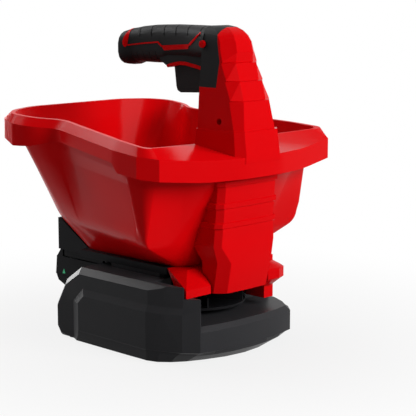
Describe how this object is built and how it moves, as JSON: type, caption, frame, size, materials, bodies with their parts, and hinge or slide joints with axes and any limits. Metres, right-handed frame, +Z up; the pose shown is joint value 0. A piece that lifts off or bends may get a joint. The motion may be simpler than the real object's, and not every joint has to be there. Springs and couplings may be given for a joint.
{
  "type": "handheld electric spreader",
  "caption": "Handheld battery spreader for seed and fertiliser: flared hopper with a pistol-column handle, over a base with a spinning disc, a flow dial and a slide-on battery.",
  "frame": {"origin": "centre of the bounding box at the level of the feet", "axes": "+Z up, -Y towards the side that throws the seed, +X to the user's left as they hold the handle"},
  "size_m": [0.2574, 0.2785, 0.315],
  "materials": {
    "red_abs": "glossy injection-moulded ABS",
    "black_abs": "fine-textured moulded ABS",
    "black_tpe": "soft-touch matt moulding",
    "charcoal_abs": "satin moulded ABS",
    "steel": "zinc-plated and ground",
    "bronze": "sintered bronze and stamped brass",
    "nylon": "natural acetal",
    "green_lens": "translucent green light guide",
    "board": "glass-epoxy board with parts",
    "crimson_abs": "glossy crimson ABS",
    "rubber": "moulded rubber"
  },
  "bodies": {
    "frame": {"hopper": "red_abs", "handle_left_shell": "red_abs", "handle_right_shell": "red_abs", "grip_left_pad": "black_tpe", "grip_right_pad": "black_tpe", "handle_screws": "steel", "trigger_bezel": "red_abs", "trigger_switch": "charcoal_abs", "wire_loom": "black_tpe", "spinner_guard": "red_abs", "dock": "black_abs", "upper_bearing": "bronze", "control_board": "board", "contact_block": "bronze", "speed_pot": "black_abs", "base_housing": "charcoal_abs", "base_cover": "black_abs", "base_screws": "steel", "rubber_feet": "rubber", "lower_bearing": "bronze", "idler_pin": "steel", "motor": "steel"},
    "trigger": {"trigger": "black_abs", "trigger_spring": "steel"},
    "lock": {"lock_button": "red_abs"},
    "spinner": {"spindle": "steel", "spindle_gear": "nylon", "spinner": "black_abs", "agitator": "black_abs"},
    "idler": {"idler_gear": "nylon"},
    "pinion": {"motor_pinion": "bronze"},
    "dial": {"dial_shaft": "charcoal_abs", "flow_dial": "red_abs", "dial_face": "charcoal_abs"},
    "shutter": {"shutter": "charcoal_abs"},
    "speed": {"speed_wheel": "crimson_abs"},
    "battery": {"battery_case": "black_abs", "battery_lid": "black_abs", "charge_light": "green_lens"},
    "release": {"battery_release": "red_abs"}
  },
  "joints": [
    {"name": "trigger_press", "type": "slide", "parent": "frame", "child": "trigger", "axis": [0, 0, 1], "range_m": [0, 0.006], "stiffness_N_per_m": 900, "springref_m": -0.004, "deforming": ["trigger_spring"]},
    {"name": "lock_push", "type": "slide", "parent": "frame", "child": "lock", "axis": [1, 0, 0], "range_m": [0, 0.004], "stiffness_N_per_m": 500, "springref_m": -0.002},
    {"name": "spinner_spin", "type": "hinge", "parent": "frame", "child": "spinner", "pos_m": [0, -0.048, 0.045], "axis": [0, 0, 1], "continuous": true},
    {"name": "idler_spin", "type": "hinge", "parent": "frame", "child": "idler", "pos_m": [0, -0.00375, 0.016], "axis": [0, 0, 1], "continuous": true},
    {"name": "pinion_spin", "type": "hinge", "parent": "frame", "child": "pinion", "pos_m": [0, 0.024, 0.016], "axis": [0, 0, 1], "continuous": true},
    {"name": "dial_turn", "type": "hinge", "parent": "frame", "child": "dial", "pos_m": [0.09, -0.026, 0.073], "axis": [-1, 0, 0], "range_deg": [0, 315]},
    {"name": "shutter_slide", "type": "slide", "parent": "frame", "child": "shutter", "axis": [0, 1, 0], "range_m": [0, 0.03299]},
    {"name": "speed_turn", "type": "hinge", "parent": "frame", "child": "speed", "pos_m": [0.075, 0.02, 0.06], "axis": [0, 0, 1], "range_deg": [0, 270]},
    {"name": "battery_slide", "type": "slide", "parent": "frame", "child": "battery", "axis": [0, 1, 0], "range_m": [0, 0.075]},
    {"name": "release_press", "type": "slide", "parent": "battery", "child": "release", "axis": [0, 0, -1], "range_m": [0, 0.003], "stiffness_N_per_m": 800, "springref_m": -0.002}
  ],
  "couplings": [
    {"joint": "idler_spin", "follows": "spinner_spin", "ratio": -1.1852},
    {"joint": "pinion_spin", "follows": "spinner_spin", "ratio": 3.2},
    {"joint": "shutter_slide", "follows": "dial_turn", "m_per_rad": 0.006}
  ]
}
